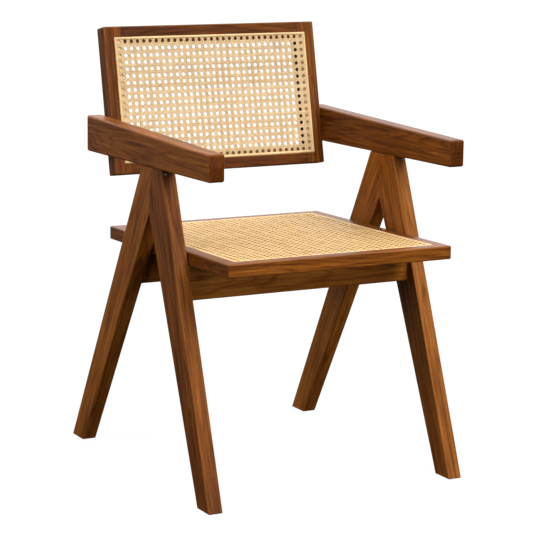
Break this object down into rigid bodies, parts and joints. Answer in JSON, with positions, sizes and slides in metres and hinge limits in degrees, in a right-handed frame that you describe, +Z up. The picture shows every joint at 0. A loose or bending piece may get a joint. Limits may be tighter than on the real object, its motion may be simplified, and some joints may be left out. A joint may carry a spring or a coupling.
{
  "type": "cane dining armchair",
  "caption": "Dining armchair of stained hardwood with A-shaped side frames, straight tapered arms and cane webbing in a sloping back panel and a flat seat.",
  "frame": {"origin": "on the floor, at the middle of the footprint", "axes": "+Z up, the chair faces -Y, +X to the right of someone looking at the chair's front"},
  "size_m": [0.5188, 0.5938, 0.7995],
  "materials": {
    "frame_wood": "satin stained",
    "cane": "natural cane skin",
    "reed_spline": "natural reed",
    "dowel_wood": "raw",
    "screw_steel": "plain"
  },
  "bodies": {
    "root": {"apex_dowels": "dowel_wood", "apex_screws": "screw_steel", "arm_dowels": "dowel_wood", "arm_to_back_dowels": "dowel_wood", "back_bottom_rail": "frame_wood", "back_cane": "cane", "back_frame_dowels": "dowel_wood", "back_left_stile": "frame_wood", "back_right_stile": "frame_wood", "back_spline": "reed_spline", "back_top_rail": "frame_wood", "front_stretcher": "frame_wood", "left_armrest": "frame_wood", "left_corner_block": "frame_wood", "left_front_leg": "frame_wood", "left_rear_leg": "frame_wood", "rear_stretcher": "frame_wood", "right_armrest": "frame_wood", "right_corner_block": "frame_wood", "right_front_leg": "frame_wood", "right_rear_leg": "frame_wood", "seat_cane": "cane", "seat_front_rail": "frame_wood", "seat_left_rail": "frame_wood", "seat_mitre_keys": "dowel_wood", "seat_rear_rail": "frame_wood", "seat_right_rail": "frame_wood", "seat_screws": "screw_steel", "seat_spline": "reed_spline"}
  },
  "joints": []
}
